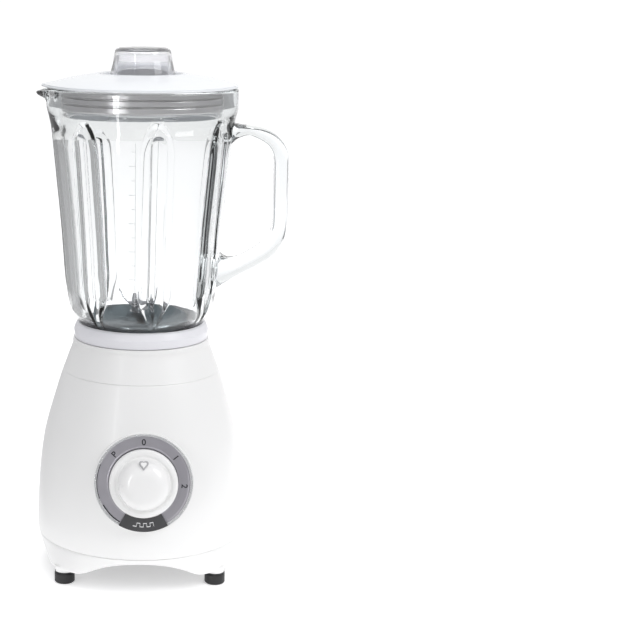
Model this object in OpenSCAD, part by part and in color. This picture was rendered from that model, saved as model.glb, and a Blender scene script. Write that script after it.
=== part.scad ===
// Countertop blender: a glass jug with lid and measuring cap on a tapered motor base with a dial.
// Millimetres, +Z up. The origin is on the drive axis, level with the underside of the rubber feet.
// The dial faces -Y, the jug's handle points to +X and its spout to -X.

/* [Base] */
// Radius of the motor base at its widest, just above the legs
base_r = 79.5; // [78:0.5:82]
// Height of the top of the motor base
base_top = 180.5; // [180:0.5:182]
// Wall thickness of the plastic casings
wall = 3; // [2.5:0.25:3.5]
// Sideways distance of a foot from the drive axis
foot_x = 57; // [55:0.5:58]
// Front to back distance of a foot from the drive axis
foot_y = 50; // [48:0.5:52]

/* [Dial] */
// Radius of the dial's outer ring
dial_r = 36.7; // [36:0.1:37.5]
// Backward tilt of the dial's face, in degrees
dial_tilt = 8; // [6:0.5:10]
// Height of the middle of the dial
dial_z = 87; // [86:0.5:89]
// Distance of the dial to the right of the middle
dial_x = 2.5; // [0:0.5:3]
// Radius of the knob's flange
knob_r = 26; // [25:0.5:27]

/* [Jug] */
// Outer radius of the jug's rim
rim_r = 71.5; // [71:0.25:72]
// Thickness of the glass wall
glass_t = 6; // [5.5:0.25:6.5]
// Number of flutes round the jug
flutes = 7; // [5:1:8]
// Width of the handle from side to side
handle_w = 22; // [18:1:26]

/* [Motor] */
// Radius of the armature
armature_r = 18.8; // [18:0.1:19]
// Number of armature slots
slots = 12; // [8:1:14]

/* [Hidden] */
$fn = 96;

plastic = [0.95, 0.95, 0.94];
steel = [0.62, 0.63, 0.65];
black = [0.07, 0.07, 0.08];
copper = [0.72, 0.42, 0.22];
clear = [0.86, 0.90, 0.92, 0.45];

seam_low = 28;
seam_top = 156;
leg_z = 12.2;
foot_h = 9;
seat_z = 168;
seat_r = 46;
side_arch_r = 88;
side_arch_top = 23.8;
flute_phase = 10;
rim_in = rim_r - 10.9;
plug_r = rim_in - 3.6;
post_r = 5;
screw_r = 1.7;
dial_y = 76.4;
cord_z = 44;
grommet_y = 38;
base_screw_at = 50.5;
cover_screw_at = 37;
plunger_x = 38;
shaft_r = 4;
foot_at = [[-1, -1], [1, -1], [-1, 1], [1, 1]];

// Catmull-Rom curve through the given points, with n steps between each pair
function at_end(p, i) = p[max(0, min(len(p) - 1, i))];
function between(a, b, c, d, t) =
    0.5 * (2 * b + (c - a) * t + (2 * a - 5 * b + 4 * c - d) * t * t
    + (3 * b - a - 3 * c + d) * t * t * t);
function curve(p, n = 5) = concat(
    [for (i = [0 : len(p) - 2], k = [0 : n - 1])
        between(at_end(p, i - 1), p[i], p[i + 1], at_end(p, i + 2), k / n)],
    [p[len(p) - 1]]
);
// Points on a circular arc
function arc(c, r, a, b, n = 8) =
    [for (i = [0 : n]) c + r * [cos(a + (b - a) * i / n), sin(a + (b - a) * i / n)]];
function shift_in(p, d) = [for (q = p) [q.x - d, q.y]];
function turned_round(p) = [for (i = [len(p) - 1 : -1 : 0]) p[i]];

// Outer outlines, as [radius, height]
housing_line = curve([
    [base_r, seam_low], [base_r + 0.3, 45], [base_r - 1.7, 79], [base_r - 6, 109],
    [base_r - 15.5, 142.6], [base_r - 19.9, seam_top]
]);
cover_line = curve([[base_r - 19.9, seam_top], [55.7, 166.6], [52.6, 175], [52.2, base_top - 2]]);
jug_line = concat(
    [[43.2, 176], [43.2, 188]],
    curve([
        [45.5, 191.5], [47.8, 194], [52, 200], [54.8, 206], [57.1, 219], [58.6, 231], [61.3, 268],
        [64.8, 305], [67.1, 329], [68.4, 341], [70.2, 349.5], [rim_r, 356], [rim_r, 370]
    ], 3)
);
jug_inside = curve([
    [36.5, 190], [48.5 - glass_t, 196], [53.5 - glass_t, 203], [56.4 - glass_t, 213], [58.2 - glass_t, 226],
    [61.3 - glass_t, 268], [64.8 - glass_t, 305], [67.2 - glass_t, 332], [rim_in, 346], [rim_in, 370.2]
], 3);

module lathe(points) rotate_extrude() polygon(points);
module ring(r_out, r_in, z0, z1) translate([0, 0, z0]) difference() {
    cylinder(r = r_out, h = z1 - z0);
    translate([0, 0, -1]) cylinder(r = r_in, h = z1 - z0 + 2);
}
module rod(r, z0, z1) translate([0, 0, z0]) cylinder(r = r, h = z1 - z0);
module sector(r_out, r_in, from, sweep, z0, z1) rotate([0, 0, from]) rotate_extrude(angle = sweep)
    translate([r_in, z0]) square([r_out - r_in, z1 - z0]);
// Places children on the dial's face, with +Z straight out of it and +Y up it
module on_dial() translate([dial_x, -dial_y, dial_z]) rotate([90 - dial_tilt, 0, 0]) children();
module at_corners(d) for (k = foot_at) translate([k.x * d, k.y * d, 0]) children();
// A closed tube along a list of 3D points
module tube(path, r, sides = 8) {
    last = len(path) - 1;
    function side(i) = let (t = path[min(i + 1, last)] - path[max(i - 1, 0)],
        h = abs(t.z) > 0.9 * norm(t) ? [1, 0, 0] : [0, 0, 1], s = cross(t, h)) s / norm(s);
    function up(i) = let (t = path[min(i + 1, last)] - path[max(i - 1, 0)], u = cross(side(i), t)) u / norm(u);
    points = [for (i = [0 : last], k = [0 : sides - 1])
        path[i] + r * (cos(k * 360 / sides) * side(i) + sin(k * 360 / sides) * up(i))];
    polyhedron(points, concat(
        [[for (k = [0 : sides - 1]) k]],
        [for (i = [0 : last - 1], k = [0 : sides - 1])
            let (next = (k + 1) % sides)
            [i * sides + k, (i + 1) * sides + k, (i + 1) * sides + next, i * sides + next]],
        [[for (k = [sides - 1 : -1 : 0]) last * sides + k]]
    ));
}
// A compression spring with closed ends along +Z
module coil_spring(r, wire, h, turns) {
    steps = 14 * turns;
    tube([for (i = [0 : steps])
        [r * cos(360 * i / 14), r * sin(360 * i / 14), wire + (h - 2 * wire) * i / steps]], wire, 6);
}

// --- Base casings ---
module main_housing() color(plastic) difference() {
    union() {
        lathe(concat(housing_line, turned_round(shift_in(housing_line, wall))));
        difference() {
            on_dial() rod(dial_r + 1, -22, 0);
            lathe(concat([[0, seam_low]], shift_in(housing_line, wall / 2), [[0, seam_top]]));
        }
        for (k = foot_at) intersection() {
            translate([k.x * base_screw_at, k.y * base_screw_at, 0]) rod(post_r + 1, seam_low, 46);
            rod(base_r - 1, seam_low, 60);
        }
        for (k = foot_at) intersection() {
            translate([k.x * cover_screw_at, k.y * cover_screw_at, 0]) rod(post_r + 4, 144, 148);
            rod(60.5, 140, 150);
        }
    }
    on_dial() rod(dial_r - 2.2, -30, 1);
    at_corners(base_screw_at) rod(screw_r - 0.3, seam_low - 1, 42);
    at_corners(cover_screw_at) rod(screw_r + 0.3, 143, 149);
    translate([0, base_r - 9, cord_z]) rotate([-90, 0, 0]) rod(6.1, -5, 14);
}

module top_cover() color(plastic) difference() {
    union() {
        lathe(concat(
            [[seat_r, base_top - 0.5], [seat_r + 0.5, base_top], [50.4, base_top], [51.8, base_top - 0.6]],
            turned_round(cover_line), shift_in([cover_line[0]], wall),
            [for (q = cover_line) if (q.y > seam_top + 1 && q.y < seat_z - 4) [q.x - wall, q.y]],
            [[49, seat_z - 3], [12, seat_z - 3], [12, seat_z], [seat_r, seat_z]]
        ));
        ring(55, 52.5, seam_top - 4, seam_top + 3);
        for (s = [-1, 1]) translate([0, s * grommet_y, 0]) rod(post_r, 146, seat_z - 2);
        at_corners(cover_screw_at) rod(post_r, 148.3, seam_top + 4);
        at_corners(cover_screw_at) rod(post_r - 1.5, seam_top + 3.5, seat_z - 2);
        translate([plunger_x, 0, 0]) ring(6.5, 4.8, 152, seat_z - 2);
    }
    for (s = [-1, 1]) translate([0, s * grommet_y, 0]) rod(screw_r - 0.3, 140, 160);
    at_corners(cover_screw_at) rod(screw_r - 0.3, 140, 158);
    translate([plunger_x, 0, 0]) rod(3.1, 150, seat_z + 1);
}

module leg_outline(z, inset) {
    n = 3;
    a = 74 - inset;
    linear_extrude(z) polygon([for (t = [0 : 5 : 355]) let (
        r = a / pow(pow(abs(cos(t)), n) + pow(abs(sin(t)), n), 1 / n)) [r * cos(t), r * sin(t)]]);
}

module foot_ring() color(plastic) {
    difference() {
        hull() {
            translate([0, 0, leg_z]) leg_outline(0.5, 0);
            rod(base_r - 0.2, seam_low - 1, seam_low - 0.2);
        }
        hull() {
            translate([0, 0, leg_z - 1]) leg_outline(0.5, wall);
            rod(base_r - 0.2 - wall, seam_low - 0.5, seam_low + 1);
        }
        for (a = [0, 90]) rotate([0, 0, a]) translate([0, 0, side_arch_top - side_arch_r])
            rotate([90, 0, 0]) cylinder(r = side_arch_r, h = 200, center = true);
    }
    difference() {
        ring(base_r - 2.5, base_r - 8, 21.8, 24);
        at_corners(base_screw_at) rod(4, 21, 25);
        for (a = [0, 90]) rotate([0, 0, a]) translate([0, 0, side_arch_top - side_arch_r])
            rotate([90, 0, 0]) cylinder(r = side_arch_r + 1, h = 200, center = true);
    }
    for (k = foot_at) intersection() {
        translate([k.x * foot_x, k.y * foot_y, 0]) ring(9.5, 2, leg_z + 0.1, leg_z + 7);
        hull() {
            translate([0, 0, leg_z]) leg_outline(0.5, 0.5);
            rod(base_r - 0.7, seam_low - 1, seam_low);
        }
    }
    for (k = foot_at) translate([k.x * foot_x, k.y * foot_y, 0]) ring(7, 2, foot_h, leg_z + 1);
}

module bottom_cover() color(black) difference() {
    rod(base_r - 4.5, 24.2, 27.2);
    for (r = [14 : 7 : 35], a = [0 : 45 : 315]) rotate([0, 0, a])
        sector(r + 1.6, r - 1.6, -16, 32, 23, 29);
    at_corners(base_screw_at) rod(screw_r + 0.3, 23, 29);
}

module rubber_foot(k) color(black) translate([k.x * foot_x, k.y * foot_y, 0]) {
    lathe([[0, 0], [6.9, 0], [7.7, 0.8], [7.7, foot_h - 0.6], [7.2, foot_h], [0, foot_h]]);
    rod(1.95, foot_h - 1, leg_z + 5);
}

// --- Dial ---
module dial_bezel() color([0.93, 0.94, 0.95]) on_dial() lathe([
    [dial_r - 2.4, 0.1], [dial_r, 0.1], [dial_r, 1.2], [dial_r - 0.6, 1.8], [dial_r - 1.8, 1.8],
    [dial_r - 2.4, 1.2]
]);
module dial_plate() color([0.70, 0.69, 0.74]) on_dial() difference() {
    union() {
        rod(dial_r - 2.5, -1.6, 0);
        for (a = [45 : 90 : 315]) rotate([0, 0, a]) translate([29, 0, 0]) rod(3, -8, -1.5);
    }
    rod(5.1, -3, 1);
}
module pulse_sector() color([0.33, 0.33, 0.34]) on_dial()
    sector(dial_r - 2.6, knob_r + 0.6, -120, 60, 0.05, 0.8);
module rotary_switch() color(black) on_dial() difference() {
    union() {
        translate([-15, -15, -24]) cube([30, 30, 20]);
        rod(5, -4.5, 3.2);
        for (s = [-1, 1]) translate([s * 9 - 1.5, -21, -20]) cube([3, 7, 0.8]);
    }
    rod(3.05, -16, 4);
}
module switch_nut() color(steel) on_dial() translate([0, 0, 0.1]) difference() {
    cylinder(r = 8, h = 2.2, $fn = 6);
    translate([0, 0, -1]) cylinder(r = 5.05, h = 5, $fn = 48);
}
module knob() color([0.97, 0.97, 0.97]) on_dial() difference() {
    union() {
        lathe(concat(
            [[0, 1], [knob_r - 0.6, 1], [knob_r, 1.8]],
            curve([
                [knob_r, 4.4], [knob_r - 1.4, 6.2], [knob_r - 4.6, 7.2], [knob_r - 5.8, 9.5],
                [knob_r - 6.6, 14], [knob_r - 9, 17.4], [knob_r - 14, 19.3], [0, 20]
            ], 3)
        ));
        translate([0, 17.4, 17.6]) rotate([0, 0, -90]) cylinder(r = 3.2, h = 2.2, $fn = 3);
    }
    rod(10.5, 0, 3.6);
    rod(2.8, 3, 14);
}
module knob_spindle() color(steel) on_dial() difference() {
    rod(3, -14, 3.5);
    translate([-5, 2, -1]) cube([10, 4, 3]);
}

// --- Motor, standing still ---
slot_from = 115;
slot_sweep = 15;
stator_lo = 88;
stator_hi = 124;
stator_screw_y = 26;

module stator_core() color(steel) difference() {
    translate([0, 0, stator_lo]) linear_extrude(stator_hi - stator_lo) polygon(concat(
        arc([23, 20], 11, 0, 90), arc([-23, 20], 11, 90, 180),
        arc([-23, -20], 11, 180, 270), arc([23, -20], 11, 270, 360)
    ));
    rod(armature_r + 0.7, stator_lo - 1, stator_hi + 1);
    for (s = [0, 180]) for (a = [slot_from, 245 - slot_sweep]) rotate([0, 0, s])
        sector(30, armature_r + 0.1, a - 0.5, slot_sweep + 1, stator_lo - 1, stator_hi + 1);
    for (s = [-1, 1]) translate([0, s * stator_screw_y, 0]) rod(2.1, stator_lo - 1, stator_hi + 1);
}
module field_coils() color(copper) for (s = [0, 180]) rotate([0, 0, s]) difference() {
    sector(29.5, 22.5, slot_from, 130, stator_lo - 8, stator_hi + 8);
    sector(31, 21, slot_from + slot_sweep, 130 - 2 * slot_sweep, stator_lo - 0.4, stator_hi + 0.4);
}
module upper_bracket() color(steel) difference() {
    union() {
        translate([-10, -44, 136]) cube([20, 88, 3]);
        rod(12, 132.5, 139);
        for (s = [-1, 1]) translate([0, s * stator_screw_y, 0]) rod(4.5, stator_hi, 137);
    }
    rod(9, 131, 145);
    for (s = [-1, 1]) translate([0, s * stator_screw_y, 0]) rod(2.1, stator_hi - 1, 140);
    for (s = [-1, 1]) translate([0, s * grommet_y, 0]) rod(3, 130, 140);
}
module lower_bracket() color(steel) difference() {
    union() {
        translate([-10, -32, 56]) cube([20, 64, 3]);
        translate([-30, -7, 56]) cube([60, 14, 3]);
        rod(12, 52.5, 59);
        for (s = [-1, 1]) translate([0, s * stator_screw_y, 0]) rod(4.5, 58, stator_lo);
        for (s = [-1, 1]) translate([s * 24 - 4, -5, 58]) cube([8, 10, 5.5]);
    }
    rod(9, 51, 62);
    for (s = [-1, 1]) translate([0, s * stator_screw_y, 0]) rod(2.1, 55, stator_lo + 1);
}
module bearing(z) color([0.75, 0.6, 0.35]) ring(9, shaft_r + 0.05, z, z + 6.5);
module brush_holders() color([0.8, 0.65, 0.3]) for (s = [0, 180]) rotate([0, 0, s]) difference() {
    translate([14, -5, 63.5]) cube([16, 10, 12]);
    translate([12, -3.1, 65.4]) cube([16.3, 6.2, 8.2]);
}
module carbon_brushes() color(black) for (s = [-1, 1])
    translate([s * 15.7 - 4.5, -3, 65.5]) cube([9, 6, 8]);
module brush_springs() color(steel) for (s = [0, 180]) rotate([0, 0, s])
    translate([20.3, 0, 69.5]) rotate([0, 90, 0]) coil_spring(2, 0.3, 7.4, 4);
module motor_grommets() color(black) for (s = [-1, 1]) translate([0, s * grommet_y, 0]) {
    ring(6, 2, 139, 145.8);
    ring(2.95, 2, 135.8, 139.2);
    ring(6, 2, 133, 136);
}
module screw(z_head, z_tip, head_r = 3.4, r = screw_r) {
    rod(head_r, z_head, z_head + 2.2);
    rod(r, z_head + 2, z_tip);
}
module motor_screws() color(steel) for (s = [-1, 1]) translate([0, s * grommet_y, 0])
    difference() {
        screw(130.7, 158, 5, 1.35);
        rod(1.2, 130, 132.2);
    }
module stator_screws() color(steel) for (s = [-1, 1]) translate([0, s * stator_screw_y, 0]) {
    difference() {
        screw(53.7, 142, 3.6, 1.9);
        rod(1.3, 53, 55);
    }
    translate([0, 0, 139.1]) difference() {
        cylinder(r = 3.8, h = 2.4, $fn = 6);
        translate([0, 0, -1]) cylinder(r = 1.85, h = 5, $fn = 48);
    }
}
module cover_screws() color(steel) at_corners(cover_screw_at) difference() {
    screw(141.7, 157, 3.4, 1.38);
    rod(1.2, 141, 143);
}
module base_screws() color(steel) at_corners(base_screw_at) difference() {
    screw(21.9, 41, 3.4, 1.38);
    rod(1.2, 21, 23.2);
}
module fan_shroud() color(black) {
    ring(37, 35, 27.3, 50);
    for (a = [0 : 90 : 270]) rotate([0, 0, a + 20]) translate([35.5, -3, 27.3]) cube([10, 6, 2.5]);
}
module thermal_fuse() color([0.8, 0.8, 0.78]) translate([0, 0, 106]) {
    translate([0, 33.5, 0]) rotate([0, 90, 0]) cylinder(r = 2.4, h = 14, center = true);
}
module terminal_block() color([0.9, 0.9, 0.88]) difference() {
    translate([-16, 50, 27.3]) cube([32, 12, 14]);
    for (x = [-10, 0, 10]) translate([x, 49, 36]) rotate([-90, 0, 0]) cylinder(r = 2.2, h = 14);
    for (x = [-10, 0, 10]) translate([x, 56, 38]) cylinder(r = 1.8, h = 5);
}
// Insulated leads from the terminal block to the brushes and to the dial's switch
lead_left = [
    [-10, 49.5, 36], [-12, 46, 36], [-26, 44, 42], [-38, 34, 54], [-40, 16, 64], [-36, 4, 68],
    [-31, 0, 69.5]
];
lead_right = [for (q = lead_left) [-q.x, q.y, q.z]];
lead_switch = [
    [0, 49.5, 36], [0, 45, 33.5], [14, 42, 31], [34, 40, 33], [48, 28, 44], [54, 0, 58], [50, -30, 68],
    [34, -48, 74], [20, -49, 78]
];
module wiring_loom() {
    color("firebrick") tube(curve(lead_left, 3), 1.3);
    color("steelblue") tube(curve(lead_right, 3), 1.3);
    color("dimgray") tube(curve(lead_switch, 3), 1.3);
}
module cord_gland() color(black) translate([0, base_r - 9, cord_z]) rotate([-90, 0, 0]) difference() {
    union() {
        rod(6, -3, 12.5);
        rod(9, 10.5, 13.5);
        rod(8, 2, 4.5);
    }
    rod(3.6, -4, 15);
}
module shaft_seal_ring() color(black) ring(11.9, shaft_r + 0.3, seat_z - 2.5, seat_z + 0.6);
module interlock_switch() color([0.15, 0.15, 0.16]) translate([plunger_x - 10, -3.2, 138]) {
    difference() {
        cube([20, 6.4, 10]);
        for (x = [4, 16]) translate([x, -1, 3]) rotate([-90, 0, 0]) cylinder(r = 1.2, h = 9);
    }
    translate([5, 2, -5]) cube([1, 2.4, 5.5]);
    translate([14, 2, -5]) cube([1, 2.4, 5.5]);
}
module interlock_plunger() color("tomato") translate([plunger_x, 0, 0]) {
    rod(3, 158, seat_z + 0.8);
    rod(4.5, 158, 160);
    rod(1.5, 149, 159);
}
module interlock_spring() color(steel) translate([plunger_x, 0, 148.2]) coil_spring(2.9, 0.35, 9.6, 5);

// --- Rotor ---
module motor_shaft() color(steel) difference() {
    rod(shaft_r, 33, 177);
    translate([shaft_r - 0.6, -5, 170]) cube([3, 10, 8]);
}
module armature_core() color([0.45, 0.45, 0.47]) difference() {
    rod(armature_r, stator_lo, stator_hi);
    rod(shaft_r, stator_lo - 1, stator_hi + 1);
    for (k = [0 : slots - 1]) rotate([0, 0, k * 360 / slots]) {
        translate([14.4, 0, 0]) rod(2, stator_lo - 1, stator_hi + 1);
        translate([15, -0.6, stator_lo - 1]) cube([6, 1.2, stator_hi - stator_lo + 2]);
    }
}
module armature_winding() color(copper) {
    for (s = [0, 1]) translate([0, 0, s * (stator_hi + stator_lo)]) mirror([0, 0, s]) lathe(concat(
        [[6, stator_lo - 0.3], [17, stator_lo - 0.3]], arc([13, stator_lo - 4], 4, 0, -90),
        [[6, stator_lo - 8]]
    ));
    for (k = [0 : slots - 1]) rotate([0, 0, k * 360 / slots]) translate([14.4, 0, 0])
        rod(1.8, stator_lo - 1, stator_hi + 1);
}
module commutator() color(copper) difference() {
    rod(11, 62, 77);
    rod(shaft_r, 61, 78);
    for (k = [0 : 23]) rotate([0, 0, k * 15]) translate([9.6, -0.25, 61]) cube([3, 0.5, 14]);
}
module cooling_fan() color([0.2, 0.2, 0.22]) {
    ring(8, shaft_r, 36, 49);
    ring(32, 7.5, 46, 48);
    for (k = [0 : 8]) rotate([0, 0, k * 40]) translate([10, -0.9, 37]) rotate([0, 0, 18]) cube([21, 1.8, 9.5]);
}
// Six-armed drive star with square ends
module star(r, h) {
    cylinder(r = r * 0.72, h = h);
    for (k = [0 : 5]) rotate([0, 0, k * 60]) translate([0, -r * 0.17, 0]) cube([r, r * 0.34, h]);
}
module drive_coupling() color(black) difference() {
    union() {
        translate([0, 0, seat_z + 1]) cylinder(r = 13, h = 2);
        translate([0, 0, seat_z + 2.9]) star(9.5, 7.6);
    }
    rod(shaft_r, seat_z, seat_z + 9.1);
}

// --- Jug ---
function wall_at(z) = lookup(z, [for (q = jug_line) [q.y, q.x]]);
flute_lo = 204;
flute_hi = 334;
flute_r = 6.5;
flute_deep = 3.4;
// Each flute shows inside the jug as a broader, shallow rib
rib_r = 20;
rib_out = 3.5;
flute_tilt = atan((wall_at(flute_hi) - wall_at(flute_lo + 12)) / (flute_hi - flute_lo - 12));
// One flute's rod, round at both ends and leaning with the wall
module flute_rod(r, sink) {
    long = (flute_hi - flute_lo) / cos(flute_tilt);
    translate([wall_at(flute_lo + 12) - 12 * tan(flute_tilt) + flute_r - sink, 0, flute_lo])
        rotate([0, flute_tilt, 0]) lathe(concat(
            [[0, -r]], arc([0, 0], r, -80, 0, 5), arc([0, long], r, 0, 80, 5), [[0, long + r]]
        ));
}
module round_flutes() for (k = [0 : flutes - 1])
    rotate([0, 0, flute_phase - 90 + k * 360 / flutes]) children();
handle_outer = concat(
    [[62, 345], [72, 343.6], [82, 342.4]], arc([85.5, 318.5], 24.3, 78, 0, 8), arc([81.7, 266], 28, 0, -60, 8),
    [[66.7, 225], [55, 217.6]]
);
handle_inner = concat(
    [[54.5, 240], [64.5, 241.2], [72, 242.2]], arc([82.4, 264], 15.6, -62, 0, 6), arc([85, 319], 13, 0, 75, 6),
    [[78, 334.6], [71, 332], [62, 327]]
);
module handle_bar() rotate([90, 0, 0]) linear_extrude(handle_w, center = true)
    polygon(concat(handle_outer, handle_inner));
module spout_outside() hull() {
    translate([-74, 0, 363]) cylinder(r = 5.2, h = 4, $fn = 32);
    translate([-56, 0, 362]) cylinder(r = 20, h = 8, $fn = 48);
}
module spout_channel() hull() {
    translate([-79, 0, 368]) cylinder(r = 3, h = 6, $fn = 32);
    translate([-56, 0, 366]) cylinder(r = 16.2, h = 8, $fn = 48);
}
module glass_jug() color(clear) difference() {
    union() {
        lathe(concat([[0, 176]], jug_line, [[0, 370]]));
        intersection() {
            handle_bar();
            translate([40, -20, 200]) cube([80, 40, 150]);
        }
        spout_outside();
    }
    difference() {
        lathe(concat([[0, 190.2]], jug_inside, [[0, 370.2]]));
        round_flutes() flute_rod(rib_r, -rib_out);
    }
    round_flutes() flute_rod(flute_r, flute_deep);
    rod(36.5, 175, 191);
    spout_channel();
}
module jug_collar() color([0.9, 0.9, 0.93]) {
    lathe(concat(
        [[31, 169.3], [45.4, 169.3], [45.4, base_top + 0.4], [50.6, base_top + 0.4], [51.2, base_top + 1.2]],
        [[51.3, 187]], arc([48.5, 188.4], 2.8, 0, 90, 6),
        [[48.2, 192.6], [47.4, 192.8], [46, 191.4], [44.9, 190], [43.8, 188.2]],
        [[43.6, 186], [43.6, 171.6], [31, 171.6]]
    ));
    for (k = [0 : 2]) rotate([0, 0, k * 120 + 30]) sector(45.6, 44, 0, 20, 172, 180.5);
}
module jug_gasket() color([0.85, 0.86, 0.88]) ring(43.1, 36.6, 174.1, 175.95);
module blade_base() color(steel) lathe(concat(
    [[9, 196.4], [9, 199.6], [24, 199.4]], curve([[30, 198.9], [33.5, 197.8], [35.6, 195.6], [36, 192.5]], 3),
    [[36, 174], [42.9, 174], [42.9, 171.8], [33.6, 171.8], [33.6, 191.5], [31, 195.4], [22, 196.4]]
));
module blade_bushing() color(steel) difference() {
    union() {
        rod(8.9, 186.2, 199.6);
        rod(10.5, 192, 196.3);
        rod(7.6, 199.4, 203);
    }
    rod(4.05, 186, 204);
}

// --- Blades ---
module blade_shaft() color(steel) {
    rod(4, 180.5, 204.5);
    rod(3, 204.3, 211.1);
}
// Two wings on a flat hub: each wing is a flat tapered strip that leans up
module wings(turn, z, reach, lift, half) rotate([0, 0, turn]) translate([0, 0, z]) difference() {
    union() {
        cylinder(r = 10.2, h = 1.6);
        for (a = [0, 180]) rotate([0, 0, a]) translate([9, 0, 0.1]) rotate([0, -lift, 0]) linear_extrude(1.4)
            polygon([
                [0, -half], [reach * 0.6, -half], [reach + 1.5, half * -0.15], [reach + 1.5, half * 0.45],
                [reach * 0.5, half * 0.94], [0, half]
            ]);
    }
    translate([0, 0, -1]) cylinder(r = 3.02, h = 5);
}
module upper_blade() color([0.8, 0.81, 0.83]) wings(8, 206.4, 14, 56, 5);
module lower_blade() color([0.8, 0.81, 0.83]) wings(98, 204.6, 21, 10, 6.2);
module blade_washer() color(steel) ring(6, 3.02, 208.1, 208.8);
module blade_nut() color(steel) translate([0, 0, 208.9]) difference() {
    cylinder(r = 5.6, h = 3.4, $fn = 6);
    translate([0, 0, -1]) cylinder(r = 3.02, h = 3.4, $fn = 48);
}
module blade_coupling() color(black) difference() {
    union() {
        rod(15, seat_z + 3.6, 181);
        rod(8, 180.9, 185.9);
    }
    translate([0, 0, seat_z + 2]) star(10, 9.4);
    rod(shaft_r, 179, 187);
}

// --- Lid ---
module lid_shell() color([0.91, 0.93, 0.95]) difference() {
    union() {
        lathe(concat(
            [[0, 354], [0, 378.6], [24.6, 378.6], [28.8, 378.8]], arc([31, 379.8], 1.7, 160, 60, 5),
            curve([
                [34, 381.5], [40, 381], [46, 380.2], [54.5, 378.7], [62, 376.4], [68.6, 373.6], [71.2, 371.8]
            ], 3),
            [[71.2, 370.2], [plug_r, 370.2], [plug_r, 354]]
        ));
        hull() {
            translate([-71, 0, 370.2]) cylinder(r = 4.6, h = 1.6, $fn = 32);
            translate([-50, 0, 370.2]) cylinder(r = 20, h = 1.6, $fn = 48);
            translate([-52, 0, 375]) cylinder(r = 10, h = 1.2, $fn = 32);
        }
    }
    lathe([
        [25.4, 353], [25.4, 376], [34, 377.8], [50, 374.5], [plug_r - 2.4, 368], [plug_r - 2.4, 353]
    ]);
    rod(22.4, 353, 380);
}
module lid_seal() color([0.78, 0.76, 0.75]) {
    ring_pitch = 5.1;
    lathe(concat(
        [[plug_r + 0.1, 354.6]],
        [for (k = [0 : 2]) each let (z = 354.6 + k * ring_pitch) [
            [rim_in - 1.9, z], [rim_in - 0.4, z + 0.9], [rim_in - 0.4, z + 3.8], [rim_in - 1.9, z + 4.6]]],
        [[plug_r + 0.1, 369.4]]
    ));
}
module measuring_cap() color([0.88, 0.88, 0.93, 0.5]) lathe(concat(
    [[0, 400]], [[16.8, 400]], arc([16.8, 395], 5, 90, 8, 6), [[24.2, 378.9], [21.8, 378.9], [21.4, 357]],
    [[18.9, 357], [19.8, 379], [19.2, 394.2], [16.2, 397.6], [0, 397.6]]
));

main_housing();
top_cover();
foot_ring();
bottom_cover();
rubber_foot(foot_at[0]);  // foot_front_left
rubber_foot(foot_at[1]);  // foot_front_right
rubber_foot(foot_at[2]);  // foot_rear_left
rubber_foot(foot_at[3]);  // foot_rear_right
dial_bezel();
dial_plate();
pulse_sector();
rotary_switch();
switch_nut();
knob();
knob_spindle();
stator_core();
field_coils();
upper_bracket();
lower_bracket();
bearing(132.5);  // upper_bearing
bearing(52.5);  // lower_bearing
brush_holders();
carbon_brushes();
brush_springs();
motor_grommets();
motor_screws();
stator_screws();
cover_screws();
base_screws();
fan_shroud();
thermal_fuse();
terminal_block();
wiring_loom();
cord_gland();
shaft_seal_ring();
interlock_switch();
interlock_plunger();
interlock_spring();
motor_shaft();
armature_core();
armature_winding();
commutator();
cooling_fan();
drive_coupling();
glass_jug();
jug_collar();
jug_gasket();
blade_base();
blade_bushing();
blade_shaft();
upper_blade();
lower_blade();
blade_washer();
blade_nut();
blade_coupling();
lid_shell();
lid_seal();
measuring_cap();
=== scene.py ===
"""Looks of a countertop blender: glass jug, white motor base and dial, built round the CAD frame."""
import math

import bmesh
import bpy
from mathutils import Matrix, Vector


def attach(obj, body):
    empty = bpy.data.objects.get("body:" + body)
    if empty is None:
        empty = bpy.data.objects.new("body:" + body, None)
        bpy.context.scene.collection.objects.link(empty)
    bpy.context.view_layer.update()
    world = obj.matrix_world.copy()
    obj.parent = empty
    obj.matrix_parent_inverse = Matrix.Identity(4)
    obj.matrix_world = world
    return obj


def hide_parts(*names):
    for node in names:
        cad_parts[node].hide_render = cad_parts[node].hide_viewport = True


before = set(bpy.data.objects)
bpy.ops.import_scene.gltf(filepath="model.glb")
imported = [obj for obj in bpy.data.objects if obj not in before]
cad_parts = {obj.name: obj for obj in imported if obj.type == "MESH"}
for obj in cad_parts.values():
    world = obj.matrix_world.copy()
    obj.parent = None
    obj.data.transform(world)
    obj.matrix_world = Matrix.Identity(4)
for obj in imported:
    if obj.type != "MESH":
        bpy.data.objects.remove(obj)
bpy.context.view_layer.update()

MM = 0.001
MERGE = 1e-4
TURN = 2 * math.pi
FRONT = -math.pi / 2
SPOUT = math.pi

# Driving sizes, in millimetres, the same as in the design
BASE_R = 79.5
SEAM_LOW = 28
SEAM_TOP = 156
LEG_Z = 12.2
FOOT_H = 9
FOOT_X = 57
FOOT_Y = 50
ARCH_R = 88
ARCH_TOP = 23.8
BASE_TOP = 180.5
SEAT_R = 46
SEAT_Z = 168
WALL = 3
DIAL_R = 36.2
DIAL_TILT = math.radians(8)
DIAL_AT = (2.5, -76.4, 87)
KNOB_R = 25.4
SPINDLE_R = 5.1
BAND_Z = 2.0
RIM_R = 71.5
RIM_Z = 370
RIM_IN = RIM_R - 10.9
PLUG_R = RIM_IN - 3.6
RIM_ROUND = 1.5
GLASS_T = 6
FLUTES = 7
FLUTE_PHASE = math.radians(10)
FLUTE_DEPTH = 2.8
FLUTE_FOOT = 194
RIB_DEPTH = 2.5
SPOUT_OUT = 7.6
SPOUT_IN = 9.5
SPOUT_DROOP = 2.6
SPOUT_HALF = math.radians(19)
SPOUT_ROOT = 358.5
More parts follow.
